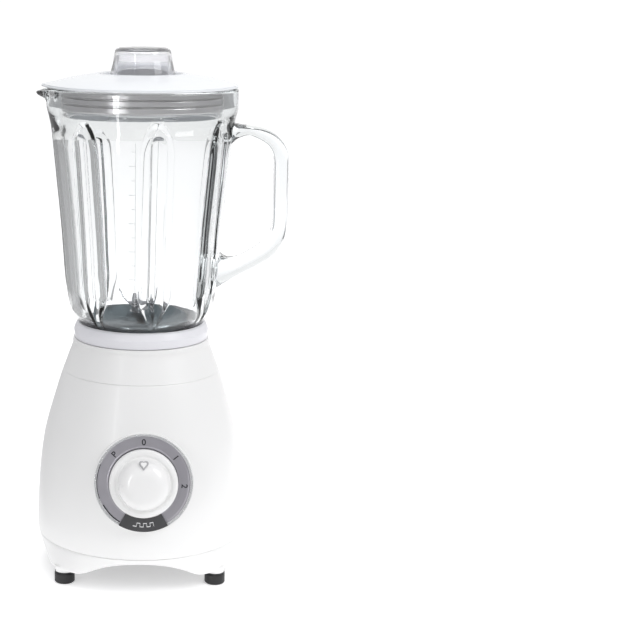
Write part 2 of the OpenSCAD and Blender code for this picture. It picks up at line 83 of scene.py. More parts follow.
HANDLE_HALF = 10.8
BLADE_HUB = 9
BLADE_BEND = 9.5
CORNERS = (("front_left", -1, -1), ("front_right", 1, -1), ("rear_left", -1, 1), ("rear_right", 1, 1))
LID_EDGE = 71.2
LID_Z = 370.2
PLUG_Z = 354
CAP_R = 21.9
INLET_Z = 44


# ---------------------------------------------------------------- outlines
def curve(points, steps=6):
    """Catmull-Rom curve through the points."""
    out = []
    for i in range(len(points) - 1):
        near = [max(0, min(len(points) - 1, j)) for j in (i - 1, i, i + 1, i + 2)]
        a, b, c, d = (Vector(points[j]) for j in near)
        for k in range(steps):
            t = k / steps
            square = (2 * a - 5 * b + 4 * c - d) * t**2
            cube = (3 * b - a - 3 * c + d) * t**3
            out.append(0.5 * (2 * b + (c - a) * t + square + cube))
    out.append(Vector(points[-1]))
    return out


def filleted(corners, steps=5):
    """Outline from (radius, height, fillet) corners, each rounded by its own fillet."""
    out = []
    count = len(corners)
    for i, (x, y, fillet) in enumerate(corners):
        here = Vector((x, y))
        before = Vector(corners[i - 1][:2]) - here
        after = Vector(corners[(i + 1) % count][:2]) - here
        if not fillet or before.length < 1e-6 or after.length < 1e-6:
            out.append(here)
            continue
        half = before.angle(after) / 2
        reach = min(fillet / max(math.tan(half), 1e-3), before.length * 0.49, after.length * 0.49)
        start, end = here + before.normalized() * reach, here + after.normalized() * reach
        for k in range(steps + 1):
            t = k / steps
            out.append(start * (1 - t) ** 2 + here * (2 * t * (1 - t)) + end * t**2)
    return out


def smooth_step(t):
    """0 below 0, 1 above 1, and a smooth change between."""
    t = max(0.0, min(1.0, t))
    return t * t * (3 - 2 * t)


def look_up(line, z):
    """Radius of an outline at height z."""
    for a, b in zip(line, line[1:]):
        if min(a.y, b.y) <= z <= max(a.y, b.y) and abs(b.y - a.y) > 1e-9:
            return a.x + (b.x - a.x) * (z - a.y) / (b.y - a.y)
    return line[0].x if z < line[0].y else line[-1].x


HOUSING = curve([
    (BASE_R, SEAM_LOW), (BASE_R + 0.3, 45), (BASE_R - 1.7, 79), (BASE_R - 6, 109),
    (BASE_R - 15.5, 142.6), (BASE_R - 19.9, SEAM_TOP),
], 10)
COVER = curve([(BASE_R - 19.9, SEAM_TOP), (55.7, 166.6), (52.6, 175), (52.2, BASE_TOP - 2)], 8)
JUG_OUT = curve([
    (44.4, 189.5), (46.2, 192), (48.6, 195), (52, 200), (54.8, 206), (57.1, 219), (58.6, 231), (61.3, 268),
    (64.8, 305), (67.1, 329), (68.4, 341), (70.2, 349.5), (RIM_R, 356), (RIM_R, RIM_Z - RIM_ROUND),
], 9)
JUG_IN = curve([
    (36.6, 190), (48.5 - GLASS_T, 196), (53.5 - GLASS_T, 203), (56.4 - GLASS_T, 213), (58.2 - GLASS_T, 226),
    (61.3 - GLASS_T, 268), (64.8 - GLASS_T, 305), (67.2 - GLASS_T, 332), (RIM_IN, 346),
    (RIM_IN, RIM_Z - RIM_ROUND),
], 9)


# ---------------------------------------------------------------- meshes
def mark_edges(bm, sharp):
    """Shades every face smooth, apart from the edges that turn by more than sharp degrees."""
    for face in bm.faces:
        face.smooth = True
    for edge in bm.edges:
        edge.smooth = len(edge.link_faces) == 2 and edge.calc_face_angle(0) < math.radians(sharp)


def finish_mesh(name, bm, sharp=32):
    """Turns a bmesh, built in millimetres, into a smooth-shaded object with its hard edges marked."""
    bmesh.ops.remove_doubles(bm, verts=bm.verts, dist=MERGE)
    bmesh.ops.recalc_face_normals(bm, faces=bm.faces)
    mark_edges(bm, sharp)
    bmesh.ops.scale(bm, vec=(MM, MM, MM), verts=bm.verts)
    mesh = bpy.data.meshes.new(name)
    bm.to_mesh(mesh)
    bm.free()
    obj = bpy.data.objects.new(name, mesh)
    bpy.context.scene.collection.objects.link(obj)
    return obj


def add_rings(bm, rings, closed=True):
    """Joins rings of points with quads. A closed set joins its last ring to its first."""
    rows = [[bm.verts.new(p) for p in ring] for ring in rings]
    pairs = list(zip(rows, rows[1:])) + ([(rows[-1], rows[0])] if closed else [])
    count = len(rows[0])
    for low, high in pairs:
        for k in range(count):
            bm.faces.new((low[k], low[(k + 1) % count], high[(k + 1) % count], high[k]))
    return rows


def revolve(bm, outline, segments=160, matrix=None):
    """Adds an outline turned round Z. Points on the axis close up to one vertex."""
    angles = [TURN * k / segments for k in range(segments)]
    rings = [[(p[0] * math.cos(a), p[0] * math.sin(a), p[1]) for a in angles] for p in outline]
    before = set(bm.verts)
    add_rings(bm, rings)
    made = [v for v in bm.verts if v not in before]
    if matrix is not None:
        bmesh.ops.transform(bm, matrix=matrix, verts=made)
    bmesh.ops.remove_doubles(bm, verts=made, dist=MERGE)


def lathe(name, outline, segments=160, matrix=None):
    """An object made by turning one outline round Z."""
    bm = bmesh.new()
    revolve(bm, outline, segments, matrix)
    return finish_mesh(name, bm)


def prism(bm, outline, z0, z1, matrix=None):
    """Adds a flat outline, given as points in order, raised from z0 to z1."""
    low = [bm.verts.new((p[0], p[1], z0)) for p in outline]
    high = [bm.verts.new((p[0], p[1], z1)) for p in outline]
    bm.faces.new(low[::-1])
    bm.faces.new(high)
    for k in range(len(low)):
        bm.faces.new((low[k], low[(k + 1) % len(low)], high[(k + 1) % len(low)], high[k]))
    if matrix is not None:
        bmesh.ops.transform(bm, matrix=matrix, verts=low + high)


def combine(obj, tool, operation):
    """Applies an exact boolean of a scratch tool to an object, then removes the tool."""
    step = obj.modifiers.new("shape", "BOOLEAN")
    step.operation = operation
    step.solver = "EXACT"
    step.object = tool
    depsgraph = bpy.context.evaluated_depsgraph_get()
    mesh = bpy.data.meshes.new_from_object(obj.evaluated_get(depsgraph))
    obj.modifiers.remove(step)
    obj.data = mesh
    bpy.data.objects.remove(tool)


def soften(obj, width):
    """Rounds hard edges with a bevel."""
    bevel = obj.modifiers.new("edges", "BEVEL")
    bevel.width = width * MM
    bevel.segments = 2
    bevel.limit_method = "ANGLE"
    bevel.angle_limit = math.radians(40)
    bevel.harden_normals = True


def remark(obj, sharp):
    """Marks an object's hard edges again after a boolean."""
    bm = bmesh.new()
    bm.from_mesh(obj.data)
    mark_edges(bm, sharp)
    bm.to_mesh(obj.data)
    bm.free()


def dial_matrix():
    """The dial's face: +Z straight out of it and +Y up it, in millimetres."""
    return Matrix.Translation(DIAL_AT) @ Matrix.Rotation(math.pi / 2 - DIAL_TILT, 4, "X")


# ---------------------------------------------------------------- materials
def material(name, colour, roughness, metallic=0.0, vary=0.03, scale=60.0, bump=0.02, bump_scale=400.0,
             rough_vary=0.08, coat=0.0, wear=0.0, **sockets):
    """A Principled surface with its own colour variation, roughness variation, fine bump and edge wear."""
    mat = bpy.data.materials.new(name)
    mat.use_nodes = True
    nodes, links = mat.node_tree.nodes, mat.node_tree.links
    shader = nodes["Principled BSDF"]
    shader.inputs["Metallic"].default_value = metallic
    shader.inputs["Coat Weight"].default_value = coat
    for key, value in sockets.items():
        shader.inputs[key.replace("_", " ")].default_value = value
    place = nodes.new("ShaderNodeTexCoord")
    broad = nodes.new("ShaderNodeTexNoise")
    broad.inputs["Scale"].default_value = scale
    broad.inputs["Detail"].default_value = 4
    links.new(place.outputs["Object"], broad.inputs["Vector"])
    tone = nodes.new("ShaderNodeMix")
    tone.data_type = "RGBA"
    dark = [c * (1 - vary) for c in colour]
    tone.inputs["A"].default_value = (*dark, 1)
    tone.inputs["B"].default_value = (*[min(1, c * (1 + vary)) for c in colour], 1)
    links.new(broad.outputs["Fac"], tone.inputs["Factor"])
    base = tone.outputs["Result"]
    if wear:
        edge = nodes.new("ShaderNodeNewGeometry")
        ramp = nodes.new("ShaderNodeMapRange")
        ramp.inputs["From Min"].default_value = 0.52
        ramp.inputs["From Max"].default_value = 0.62
        ramp.inputs["To Max"].default_value = wear
        links.new(edge.outputs["Pointiness"], ramp.inputs["Value"])
        worn = nodes.new("ShaderNodeMix")
        worn.data_type = "RGBA"
        worn.inputs["B"].default_value = (*[min(1, c * 1.25 + 0.03) for c in colour], 1)
        links.new(ramp.outputs["Result"], worn.inputs["Factor"])
        links.new(base, worn.inputs["A"])
        base = worn.outputs["Result"]
    links.new(base, shader.inputs["Base Color"])
    rough = nodes.new("ShaderNodeMapRange")
    rough.inputs["To Min"].default_value = roughness * (1 - rough_vary)
    rough.inputs["To Max"].default_value = roughness * (1 + rough_vary)
    links.new(broad.outputs["Fac"], rough.inputs["Value"])
    links.new(rough.outputs["Result"], shader.inputs["Roughness"])
    if bump:
        fine = nodes.new("ShaderNodeTexNoise")
        fine.inputs["Scale"].default_value = bump_scale
        fine.inputs["Detail"].default_value = 3
        links.new(place.outputs["Object"], fine.inputs["Vector"])
        raised = nodes.new("ShaderNodeBump")
        raised.inputs["Strength"].default_value = bump
        raised.inputs["Distance"].default_value = 0.0005
        links.new(fine.outputs["Fac"], raised.inputs["Height"])
        links.new(raised.outputs["Normal"], shader.inputs["Normal"])
    return mat


def brushed(name, colour, roughness, centre=(0, 0, 0), grazing=(1, 1, 1)):
    """Metal turned on a lathe: fine rings round its middle."""
    mat = material(
        name, colour, roughness, metallic=1.0, vary=0.05, scale=120, bump=0, Specular_Tint=(*grazing, 1),
    )
    nodes, links = mat.node_tree.nodes, mat.node_tree.links
    place = nodes.new("ShaderNodeTexCoord")
    shift = nodes.new("ShaderNodeVectorMath")
    shift.operation = "SUBTRACT"
    shift.inputs[1].default_value = centre
    rings = nodes.new("ShaderNodeTexWave")
    rings.wave_type = "RINGS"
    rings.rings_direction = "Z"
    rings.inputs["Scale"].default_value = 700
    rings.inputs["Distortion"].default_value = 1.5
    rings.inputs["Detail"].default_value = 2
    raised = nodes.new("ShaderNodeBump")
    raised.inputs["Strength"].default_value = 0.12
    raised.inputs["Distance"].default_value = 0.0002
    links.new(place.outputs["Object"], shift.inputs[0])
    links.new(shift.outputs["Vector"], rings.inputs["Vector"])
    links.new(rings.outputs["Fac"], raised.inputs["Height"])
    links.new(raised.outputs["Normal"], nodes["Principled BSDF"].inputs["Normal"])
    return mat


def clear_material(name, colour, ior, roughness, bump, bump_scale, vary=0.02, tint=(1, 1, 1), density=0.0,
                   clear=1.0):
    """A see-through surface. A density above 0 also tints the light by the depth that it crosses."""
    mat = material(
        name, colour, roughness, vary=vary, scale=25, bump=bump, bump_scale=bump_scale, rough_vary=0.5,
    )
    shader = mat.node_tree.nodes["Principled BSDF"]
    shader.inputs["Transmission Weight"].default_value = clear
    shader.inputs["IOR"].default_value = ior
    if density:
        depth = mat.node_tree.nodes.new("ShaderNodeVolumeAbsorption")
        depth.inputs["Color"].default_value = (*tint, 1)
        depth.inputs["Density"].default_value = density
        surface = mat.node_tree.nodes["Material Output"]
        mat.node_tree.links.new(depth.outputs["Volume"], surface.inputs["Volume"])
    return mat


def palette():
    """Every finish, by a short name."""
    dial_centre = tuple(v * MM for v in DIAL_AT)
    return {
        "white": material(
            "white_gloss", (0.84, 0.84, 0.835), 0.40, vary=0.012, scale=14, bump=0.03, bump_scale=260,
            coat=0.08, wear=0.25,
        ),
        "satin": material(
            "white_satin", (0.80, 0.80, 0.835), 0.34, vary=0.015, scale=20, bump=0.05, bump_scale=500,
        ),
        "lid": material(
            "lid_plastic", (0.82, 0.84, 0.865), 0.25, vary=0.015, scale=18, bump=0.03, bump_scale=300,
            coat=0.3,
        ),
        "knob": material(
            "knob_plastic", (0.87, 0.87, 0.865), 0.28, vary=0.012, scale=30, bump=0.02, bump_scale=300,
            coat=0.3,
        ),
        # Grey for the rim round the knob's pointer: painted shade of the raised pointer's edges.
        "painted_edge_shade": material(
            "pointer_painted_edge_shade", (0.42, 0.42, 0.43), 0.35, vary=0.03, scale=60, bump=0.02, bump_scale=400,
        ),
        "silver": brushed("dial_silver", (0.44, 0.43, 0.465), 0.34, dial_centre),
        "dark": material(
            "dial_dark", (0.052, 0.052, 0.055), 0.45, vary=0.08, scale=200, bump=0.06, bump_scale=900,
        ),
        "ink": material(
            "dial_ink", (0.02, 0.02, 0.024), 0.5, vary=0.1, scale=300, bump=0.05, bump_scale=900,
        ),
        "white_ink": material(
            "white_ink", (0.85, 0.85, 0.86), 0.45, vary=0.05, scale=300, bump=0.05, bump_scale=900,
        ),
        "bezel": clear_material("bezel_plastic", (0.96, 0.965, 0.975), 1.46, 0.05, 0.02, 80, clear=0.9),
        "glass": clear_material(
            "pressed_glass", (0.985, 0.988, 0.987), 1.5, 0.004, 0.10, 18, vary=0.01,
            tint=(0.70, 0.75, 0.765), density=16,
        ),
        "cap": clear_material("clear_plastic", (0.965, 0.965, 0.985), 1.46, 0.04, 0.05, 30, clear=0.92),
        "print": material(
            "grey_print", (0.66, 0.67, 0.68), 0.5, vary=0.1, scale=300, bump=0.05, bump_scale=900,
        ),
        "seal": material(
            "pearl_silicone", (0.78, 0.765, 0.77), 0.36, metallic=0.85, vary=0.05, scale=60, bump=0.04,
            bump_scale=700,
        ),
        "rubber": material(
            "black_rubber", (0.011, 0.011, 0.012), 0.5, vary=0.25, scale=150, bump=0.2, bump_scale=900,
            wear=0.15,
        ),
        "black": material(
            "black_plastic", (0.028, 0.028, 0.032), 0.45, vary=0.15, scale=120, bump=0.2, bump_scale=900,
            wear=0.4,
        ),
        "red": material(
            "red_plastic", (0.45, 0.05, 0.03), 0.4, vary=0.08, scale=150, bump=0.1, bump_scale=800,
        ),
        "pale": material(
            "pale_plastic", (0.62, 0.62, 0.58), 0.5, vary=0.05, scale=150, bump=0.15, bump_scale=800,
        ),
        "blade": brushed("blade_steel", (0.42, 0.43, 0.45), 0.22, grazing=(0.5, 0.5, 0.52)),
        "steel": brushed("turned_steel", (0.42, 0.43, 0.45), 0.30),
        "dish": brushed("dish_steel", (0.28, 0.31, 0.325), 0.30, grazing=(0.22, 0.25, 0.27)),
        "zinc": material(
            "zinc_plate", (0.55, 0.55, 0.53), 0.36, metallic=1.0, vary=0.12, scale=300, bump=0.1,
            bump_scale=900, wear=0.5,
        ),
        "stack": laminations(),
        "copper": material(
            "enamelled_copper", (0.62, 0.24, 0.10), 0.30, metallic=0.9, vary=0.15, scale=500, bump=0.5,
            bump_scale=1500, coat=0.5,
        ),
        "bronze": material(
            "sintered_bronze", (0.55, 0.37, 0.16), 0.42, metallic=1.0, vary=0.15, scale=400, bump=0.3,
            bump_scale=1500,
        ),
        "carbon": material(
            "pressed_carbon", (0.03, 0.03, 0.033), 0.5, metallic=0.3, vary=0.2, scale=500, bump=0.2,
            bump_scale=1500,
        ),
        "wire": material(
            "wire_cover", (0.30, 0.05, 0.04), 0.42, vary=0.1, scale=200, bump=0.1, bump_scale=900,
        ),
    }


def laminations():
    """Thin steel sheets stacked along Z."""
    mat = material("steel_stack", (0.26, 0.26, 0.27), 0.42, metallic=0.8, vary=0.2, scale=300, bump=0)
    nodes, links = mat.node_tree.nodes, mat.node_tree.links
    place = nodes.new("ShaderNodeTexCoord")
    sheets = nodes.new("ShaderNodeTexWave")
    sheets.bands_direction = "Z"
    sheets.inputs["Scale"].default_value = 320
    raised = nodes.new("ShaderNodeBump")
    raised.inputs["Strength"].default_value = 0.5
    raised.inputs["Distance"].default_value = 0.0003
    links.new(place.outputs["Object"], sheets.inputs["Vector"])
    links.new(sheets.outputs["Fac"], raised.inputs["Height"])
    links.new(raised.outputs["Normal"], nodes["Principled BSDF"].inputs["Normal"])
    return mat


def dress(obj, mat, body, slot_name, *replaced):
    """Gives a piece its material and its body, and hides the CAD nodes that it replaces. Its slot_name is not
    used.
    """
    obj.data.materials.clear()
    obj.data.materials.append(mat)
    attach(obj, body)
    if replaced:
        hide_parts(*replaced)


# ---------------------------------------------------------------- jug
def flute_depth(angle, z, half=5.9, high=339.5, arch=7.4, edge=0.75):
    """How deep the nearest flute is here, from 0 to 1. Its top is an arch and its foot is narrow."""
    full = 222
    if not FLUTE_FOOT < z < high:
        return 0.0
    step = TURN / FLUTES
    off = (angle - FRONT - FLUTE_PHASE + step / 2) % step - step / 2
    if z > high - arch:
        half *= math.sqrt(max(0.0, 1 - ((z - high + arch) / arch) ** 2))
    if z < full:
        half *= 0.25 + 0.75 * smooth_step((z - FLUTE_FOOT) / (full - FLUTE_FOOT))
    across = abs(off) * look_up(JUG_OUT, z)
    if half < 0.05 or across >= half:
        return 0.0
    fade = smooth_step((z - FLUTE_FOOT) / 14) * smooth_step((high - z) / 3)
    return (1 - (across / half) ** 2) ** edge * fade


def rib_depth(angle, z):
    """The broad rib that each flute makes inside the jug, from 0 to 1."""
    return flute_depth(angle, z, half=13.2, high=348.5, arch=24, edge=0.85)


def off_spout(angle):
    """The angle away from the spout, to either side."""
    return abs((angle - SPOUT + math.pi) % TURN - math.pi)


def spout_reach(angle, z):
    """How far the rim is drawn out at the spout, from 0 to 1."""
    across = max(0.0, 1 - off_spout(angle) / SPOUT_HALF)
    return across**1.6 * smooth_step((z - SPOUT_ROOT) / 10)


def jug_outline():
    """The glass's outline as (radius, height, part): up the outside, over the rim and down the inside."""
    rows = [(43.2, 176.0, "neck"), (43.2, 181.0, "neck"), (43.2, 186.5, "neck"), (43.6, 188.3, "neck")]
    rows += [(p.x, p.y, "outside") for p in JUG_OUT]
    rim = (RIM_R - RIM_IN) / 2
    for k in range(1, 8):
        a = math.pi * k / 8
        rows.append((RIM_R - rim + rim * math.cos(a), RIM_Z - RIM_ROUND + RIM_ROUND * math.sin(a), "rim"))
    rows += [(p.x, p.y, "inside") for p in reversed(JUG_IN)]
    rows += [(36.5, 188.5, "neck"), (36.5, 182, "neck"), (36.5, 176.6, "neck"), (37.1, 176, "neck")]
    return rows


def jug_rings(segments=720):
    """The outline turned round Z, with the flutes, the ribs inside and the spout worked into it."""
    rings = []
    for r, z, part in jug_outline():
        ring = []
        for k in range(segments):
            a = TURN * k / segments
            drawn = 0.0 if part == "neck" else spout_reach(a, z)
            reach = r + drawn * (SPOUT_IN if part == "inside" else SPOUT_OUT)
            if part == "outside":
                reach -= FLUTE_DEPTH * flute_depth(a, z)
            elif part == "inside":
                reach -= RIB_DEPTH * rib_depth(a, z)
            ring.append((reach * math.cos(a), reach * math.sin(a), z - SPOUT_DROOP * drawn))
        rings.append(ring)
    return rings


def handle_rings():
    """Cross-sections of the handle bar, from its upper root at the rim round to its foot."""
    outer = curve([
        (66.5, 344.6), (71.4, 343.4), (80, 342.4), (91, 340), (100, 335.2), (106, 328.6), (109.2, 321),
        (109.9, 311), (109.8, 290), (109.7, 270), (108.2, 259), (104.7, 251), (98.5, 243.6), (89, 237.2),
        (78, 231.4), (67, 225.6), (56, 218.6),
    ], 6)
    inner = curve([
        (66, 327), (70.4, 331.6), (78, 334.4), (86, 332), (93, 327.8), (96.9, 322.3), (98.1, 316),
        (98.3, 307), (98.4, 289), (98.3, 271), (97.2, 264.3), (93.6, 257.6), (87.3, 251.6), (79.6, 246.8),
        (71.6, 243), (64, 243), (56.5, 250),
    ], 6)
    squareness = 0.62
    rings = []
    count = len(outer)
    for i, (o, n) in enumerate(zip(outer, inner)):
        middle, half = (o + n) / 2, (o - n) / 2
        ends = min(i, count - 1 - i) / 14
        wide = HANDLE_HALF * (1 + 0.28 * (1 - smooth_step(ends)))
        ring = []
        for k in range(48):
            a = TURN * k / 48
            c, s = math.cos(a), math.sin(a)
            u = math.copysign(abs(c) ** squareness, c)
            v = math.copysign(abs(s) ** squareness, s)
            dish = 1 - 0.16 * max(0.0, -u) * (1 - abs(v)) if u < 0 else 1
            ring.append((middle.x + half.x * u * dish, wide * v, middle.y + half.y * u * dish))
        rings.append(ring)
    return rings


def glass_jug():
    """The fluted jug with its handle fused on."""
    bm = bmesh.new()
    add_rings(bm, jug_rings())
    jug = finish_mesh("glass_jug_fluted", bm, 60)
    bm = bmesh.new()
    rows = add_rings(bm, handle_rings(), closed=False)
    bm.faces.new(rows[0][::-1])
    bm.faces.new(rows[-1])
    handle = finish_mesh("handle_tool", bm, 60)
    combine(jug, handle, "UNION")
    remark(jug, 55)
    return jug


def glass_strip(bm, x0, x1, z0, z1, steps):
    """Adds a thin raised strip that follows the front of the glass."""
    sunk, proud = 0.15, 0.3
    for k in range(steps):
        za = z0 + (z1 - z0) * k / steps
        zb = z0 + (z1 - z0) * (k + 1) / steps
        inner, outer = [], []
        for x, z in ((x0, za), (x1, za), (x1, zb), (x0, zb)):
            r = look_up(JUG_OUT, z)
            y = -math.sqrt(r * r - x * x)
            inner.append(bm.verts.new((x, y + sunk, z)))
            outer.append(bm.verts.new((x * (1 + proud / r), y - proud, z)))
        bm.faces.new(outer)
        bm.faces.new(inner[::-1])
        for j in range(4):
            bm.faces.new((inner[j], inner[(j + 1) % 4], outer[(j + 1) % 4], outer[j]))


def graduation():
    """The thin line and ticks on the front of the jug."""
    bm = bmesh.new()
    glass_strip(bm, -4.9, -4.5, 215, 335, 18)
    for k in range(10):
        z = 235 + 10.4 * k
        glass_strip(bm, -7.5 if k % 2 else -9.5, -4.9, z, z + 0.35, 1)
    return finish_mesh("graduation_marks", bm, 30)


def jug_collar():
    """The ring under the jug, with a lip that follows the glass."""
    return lathe("jug_collar_ring", filleted([
        (31, 169.3, 0.6), (45.4, 169.3, 0.6), (45.4, BASE_TOP + 0.4, 0.2), (50.8, BASE_TOP + 0.4, 0.6),
        (51.4, 187.2, 2.2), (49.6, 191.8, 2.2), (48.2, 192.7, 0.4), (47.4, 192.9, 0.3), (46.1, 191.4, 0),
        (44.9, 189.9, 0), (43.8, 188.2, 0.3), (43.6, 186, 0), (43.6, 171.6, 0.4), (31, 171.6, 0.4),
    ]), segments=192)


def blade_dish():
    """The steel floor that closes the jug round the blades."""
    return lathe("blade_dish", filleted([
        (9, 196.4, 0), (9, 199.6, 0), (24, 199.4, 4), (31, 198.4, 3), (35.9, 195.6, 3), (36, 174, 0.5),
        (42.9, 174, 0.4), (42.9, 171.8, 0.4), (33.6, 171.8, 0.5), (33.6, 192, 3), (30, 196, 3), (22, 196.4, 2),
    ]), segments=128)


def wing_rows(bm, z, reach, lift, half):
    """Points over the top and under the bottom of one wing, in rows from the hub to the tip."""
    steps, across = 22, 8
    start, thickness = 1.0, 1.5
    top, low = [], []
    for i in range(steps + 1):
        s = i / steps
        x = start + (BLADE_HUB + reach - start) * s
        bend = max(0.0, x - BLADE_BEND)
        rise = bend * math.sin(lift) * smooth_step(bend / 5 + 0.35)
        run = x if x < BLADE_BEND else BLADE_BEND + bend * math.cos(lift)
        lead = -half if s < 0.62 else -half * (1 - 0.82 * ((s - 0.62) / 0.38) ** 1.6)
        trail = half * (1 - 0.58 * s**2)
        for rows, face in ((top, 1), (low, 0)):
            row = []
            for j in range(across + 1):
                t = j / across
                y = lead + (trail - lead) * t
                ground_thin = smooth_step(t / 0.3) * 0.92 + 0.08
                thick = thickness * ground_thin if x > 10 else thickness
                row.append(bm.verts.new((run, y, z + rise + (thick if face else 0))))
            rows.append(row)
    return top, low


def close_wing(bm, top, low):
    """Joins the two sides of a wing, along its edges and at both ends."""
    steps, across = len(top) - 1, len(top[0]) - 1
    for i in range(steps):
        for j in range(across):
            bm.faces.new((top[i][j], top[i + 1][j], top[i + 1][j + 1], top[i][j + 1]))
            bm.faces.new((low[i][j], low[i][j + 1], low[i + 1][j + 1], low[i + 1][j]))
        bm.faces.new((top[i][0], low[i][0], low[i + 1][0], top[i + 1][0]))
        bm.faces.new((top[i][across], top[i + 1][across], low[i + 1][across], low[i][across]))
    for i in (0, steps):
        for j in range(across):
            bm.faces.new((top[i][j], top[i][j + 1], low[i][j + 1], low[i][j]))


def wing_blade(name, turn, z, reach, lift, half):
    """Two wings on a flat hub. Each bends up smoothly and is ground thin along its leading edge."""
    bm = bmesh.new()
    for side in (0, math.pi):
        top, low = wing_rows(bm, z, reach, lift, half)
        close_wing(bm, top, low)
        verts = [v for row in top + low for v in row]
        bmesh.ops.rotate(bm, verts=verts, matrix=Matrix.Rotation(side + turn, 3, "Z"))
    revolve(bm, [
        (3.05, z - 0.02), (8.6, z - 0.02), (9.2, z + 0.4), (9.2, z + 1.2), (8.6, z + 1.55), (3.05, z + 1.55),
    ], 64)
    return finish_mesh(name, bm, 28)


def blade_bolt():
    """The nut that holds the blades: a hexagon with a domed crown."""
    bm = bmesh.new()
    corner_r = 5.6
    angles = [TURN * k / 6 for k in range(6)]
    prism(bm, [(corner_r * math.cos(a), corner_r * math.sin(a)) for a in angles], 208.9, 211.8)
    revolve(bm, [(0, 211.2), (4.4, 211.2), (4.2, 211.9), (3, 212.25), (0, 212.3)], 48)
    bolt = finish_mesh("blade_crown_nut", bm, 30)
    soften(bolt, 0.3)
    return bolt


# ---------------------------------------------------------------- lid
def lid_outline():
    """The lid's outline: the collar round the cap, the dome, the edge, the plug and the inside."""
    collar = filleted([
        (22.4, PLUG_Z, 0.4), (22.4, 378.6, 0.4), (24.7, 377.6, 0.2), (28.8, 377.7, 0.7), (29.9, 379.8, 0.9),
        (32, 380.4, 1.0),
    ])
    dome = curve([
        (34.5, 380.1), (38, 379.6), (46, 378.2), (54.5, 376.6), (62, 374.8), (68.2, 372.9), (70.6, 372.1),
    ], 8)
    under = filleted([
        (LID_EDGE, LID_Z + 1.5, 0.5), (LID_EDGE, LID_Z, 0.4), (64, LID_Z, 0.2), (PLUG_R, LID_Z, 0.2),
        (PLUG_R, PLUG_Z, 0.6), (PLUG_R - 2.4, PLUG_Z, 0.6), (PLUG_R - 2.4, 368, 1), (50, 374.5, 2),
        (34, 377.8, 2), (25.4, 376, 1), (25.4, PLUG_Z, 0.4),
    ])
    return collar + dome + under


def lid_dome():
    """The lid, with its edge drawn out into a tongue over the spout."""
    segments = 360
    tongue = 4.2
    rings = []
    for p in lid_outline():
        ring = []
        for k in range(segments):
            a = TURN * k / segments
            tab = max(0.0, 1 - off_spout(a) / math.radians(26)) ** 1.5
            above = p.y > LID_Z - 0.1
            r = p.x + tongue * tab * smooth_step((p.x - 62) / 9) if above else p.x
            ring.append((r * math.cos(a), r * math.sin(a), p.y))
        rings.append(ring)
    bm = bmesh.new()
    add_rings(bm, rings)
    return finish_mesh("lid_dome", bm, 40)


def lid_seal():
    """The sleeve on the lid's plug, with three ribs that press on the glass."""
    inner_r = PLUG_R + 0.1
    valley_r = RIM_IN - 1.9
    rib_r = RIM_IN - 0.4
    top = LID_Z - 0.4
    outline = [Vector((inner_r, top)), Vector((inner_r, 354.6))]
    for k in range(3):
        z = 354.9 + 4.9 * k
        outline += filleted([
            (valley_r, z - 0.3, 0.3), (rib_r, z + 0.4, 0.8), (rib_r, z + 3.7, 0.8), (valley_r, z + 4.4, 0.3),
        ], 5)
    outline += [Vector((RIM_IN - 1.7, top))]
    return lathe("ribbed_seal", outline, segments=192)


def cap():
    """The measuring cap: a clear cup, upside down, that plugs the hole in the lid."""
    outline = filleted([
        (0, 400, 0), (20.7, 398.8, 5.2), (CAP_R, 389.5, 1.0), (24.1, 380.5, 1.5), (24.2, 378.9, 0.3),
        (CAP_R - 0.1, 378.9, 0.3), (21.4, 357, 0.7), (19.0, 357, 0.7), (19.6, 379, 2), (18.9, 396, 3.4),
        (0, 396.4, 0),
    ], 8)
    return lathe("clear_cap", outline, segments=144)


# ---------------------------------------------------------------- base
def scratch_lathe(name, outline, segments, matrix=None):
    """A scratch tool for a boolean."""
    return lathe(name, [Vector(p) for p in outline], segments=segments, matrix=matrix)


def housing():
    """The base's tapered shell, with the dial's boss on its front and the cord inlet low on its back."""
    inner = [Vector((p.x - WALL, p.y)) for p in HOUSING]
    bottom, top = HOUSING[0].x, HOUSING[-1].x
    outline = [Vector((bottom - 0.5, SEAM_LOW)), Vector((bottom, SEAM_LOW + 0.5))] + HOUSING[1:-1]
    outline += [Vector((top + 0.05, SEAM_TOP - 0.4)), Vector((top - 0.25, SEAM_TOP - 0.1))] + inner[::-1]
    shell = lathe("front_housing", outline, segments=240)
    boss_r = DIAL_R + 1
    boss_outline = filleted([(0, -20, 0), (boss_r, -20, 0), (boss_r, 0, 0.8), (0, 0, 0)])
    boss = scratch_lathe("tool", boss_outline, 160, dial_matrix())
    inside = scratch_lathe("tool_inside", [(0, SEAM_LOW)] + inner + [(0, SEAM_TOP)], 240)
    combine(boss, inside, "DIFFERENCE")
    combine(shell, boss, "UNION")
    hole_r = DIAL_R - 2.2
    hole = scratch_lathe("tool", [(0, -30), (hole_r, -30), (hole_r, 2), (0, 2)], 160, dial_matrix())
    combine(shell, hole, "DIFFERENCE")
    turned = Matrix.Translation((0, BASE_R, INLET_Z)) @ Matrix.Rotation(math.pi / 2, 4, "X")
    inlet_r = 6.1
    inlet = scratch_lathe("tool", [(0, -12), (inlet_r, -12), (inlet_r, 14), (0, 14)], 64, turned)
    combine(shell, inlet, "DIFFERENCE")
    remark(shell, 30)
    return shell


